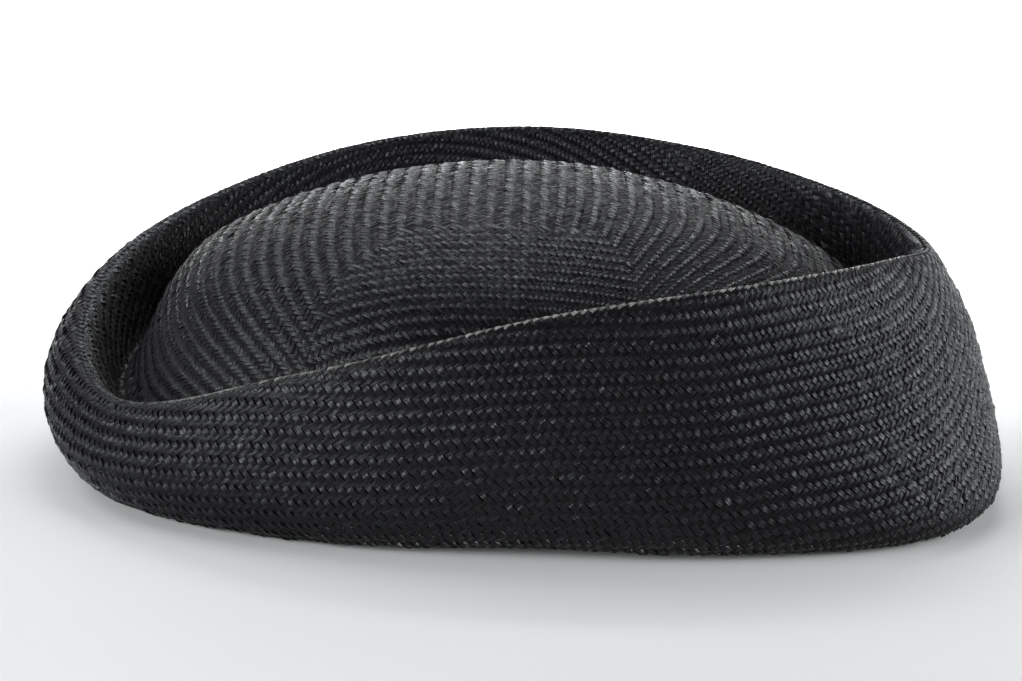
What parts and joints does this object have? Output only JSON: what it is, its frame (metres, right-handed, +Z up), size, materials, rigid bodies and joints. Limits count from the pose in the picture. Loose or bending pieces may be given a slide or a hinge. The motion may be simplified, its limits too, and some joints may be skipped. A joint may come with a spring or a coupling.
{
  "type": "pillbox hat",
  "caption": "Low black woven-straw hat: a domed crown set inside a tall folded rim that slopes down towards the low end, hollow and open underneath for the head.",
  "frame": {"origin": "middle of the outline at the height of the resting foot", "axes": "+X along the hat towards its tall end, +Y across it towards the tall far side, +Z up out of the crown"},
  "size_m": [0.2386, 0.1915, 0.075],
  "materials": {
    "black_straw": "woven sisal straw, dyed black, with a soft sheen on the strands"
  },
  "bodies": {
    "root": {"straw_body": "black_straw"}
  },
  "joints": []
}
